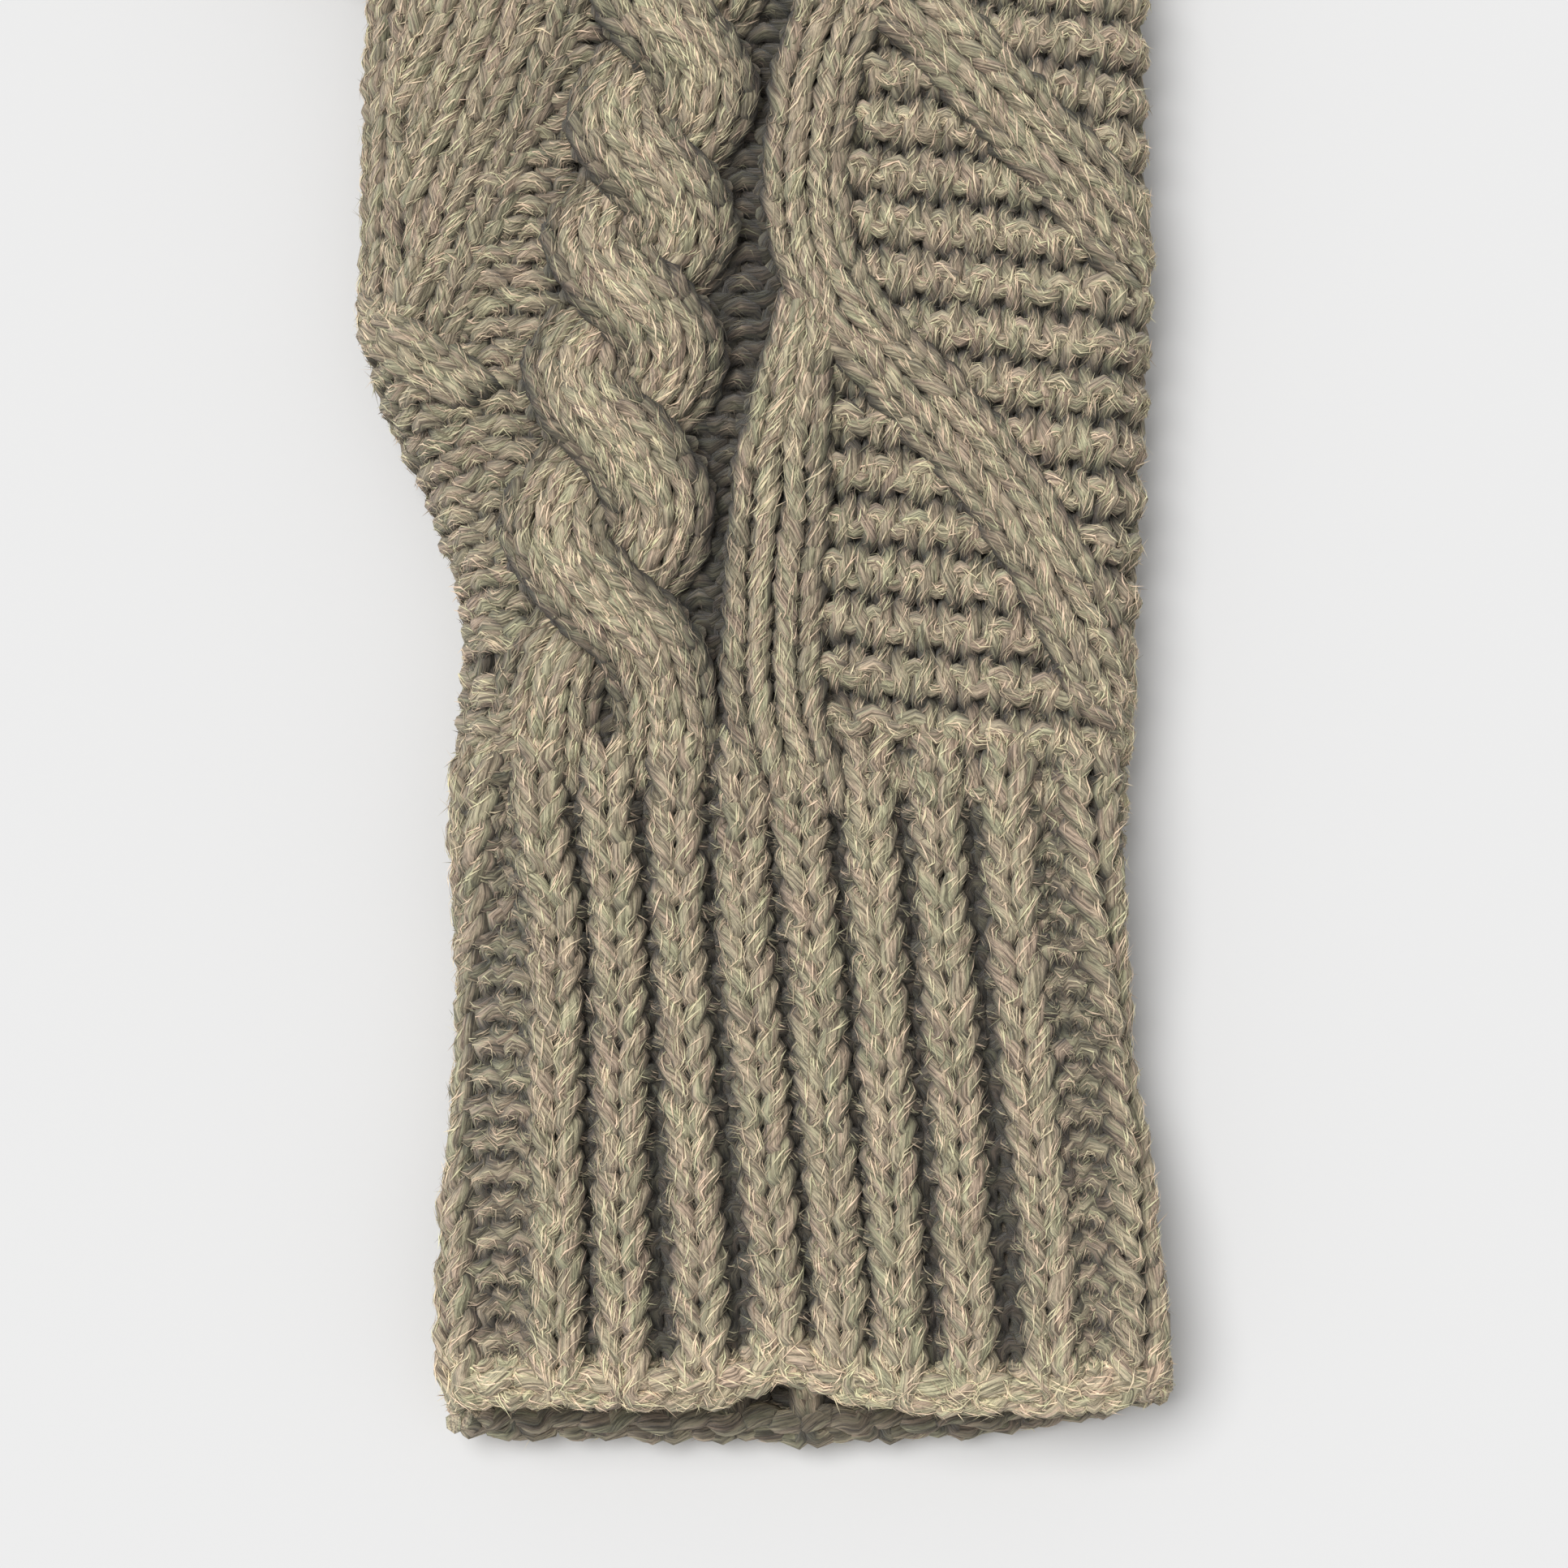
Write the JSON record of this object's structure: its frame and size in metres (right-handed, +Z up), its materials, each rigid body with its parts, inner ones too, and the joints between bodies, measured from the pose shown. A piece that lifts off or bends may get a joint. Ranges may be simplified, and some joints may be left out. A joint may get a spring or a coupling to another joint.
{
  "type": "fingerless glove",
  "caption": "Chunky knitted fingerless glove for a right hand: ribbed cuff, rope cable and travelling bands on the back, short open thumb.",
  "frame": {"origin": "centre of the box round the glove, on the surface that it lies on", "axes": "+Y along the glove from the cuff to the fingers, +Z up out of the back of the hand, thumb on -X"},
  "size_m": [0.1236, 0.24, 0.0211],
  "materials": {
    "rib": "soft matt knitted wool yarn, heathered greige",
    "rib_wale": "soft matt knitted wool yarn, heathered greige",
    "edge": "soft matt knitted wool yarn, heathered greige",
    "seam": "soft matt knitted wool yarn, heathered greige",
    "yarn_end": "soft matt knitted wool yarn, heathered greige",
    "ground": "soft matt knitted wool yarn, heathered greige",
    "palm": "soft matt knitted wool yarn, heathered greige",
    "rope": "soft matt knitted wool yarn, heathered greige",
    "band": "soft matt knitted wool yarn, heathered greige",
    "thumb": "soft matt knitted wool yarn, heathered greige"
  },
  "bodies": {
    "hand": {"wrist_fold": "ground", "hand_upper_panel": "ground", "palm_panel": "palm", "rope_strand_a": "rope", "rope_strand_b": "rope", "upper_travelling_band": "band", "middle_travelling_band": "band", "lower_travelling_band": "band", "garter_ridges": "ground", "gusset_band": "band", "hand_side_seam": "seam", "finger_rib_upper": "rib", "finger_rib_lower": "rib", "finger_rib_wales": "rib_wale", "bind_off_edge": "edge", "bind_off_tail": "yarn_end", "thumb_fold": "thumb"},
    "cuff": {"cuff_upper_rib": "rib", "cuff_lower_rib": "rib", "cuff_rib_wales": "rib_wale", "cast_on_edge": "edge", "cuff_side_seam": "seam", "cast_on_tail": "yarn_end"},
    "thumb": {"thumb_tube": "thumb", "thumb_rib_wales": "rib_wale", "thumb_bind_off_edge": "edge"}
  },
  "joints": [
    {"name": "wrist_bend", "type": "hinge", "parent": "hand", "child": "cuff", "pos_m": [0.01583, -0.027, 0.008], "axis": [1, 0, 0], "range_deg": [-60, 60], "deforming": ["wrist_fold"]},
    {"name": "thumb_bend", "type": "hinge", "parent": "hand", "child": "thumb", "pos_m": [-0.03317, 0.078, 0.008], "axis": [0, 1, 0], "range_deg": [-50, 50], "deforming": ["thumb_fold"]}
  ]
}
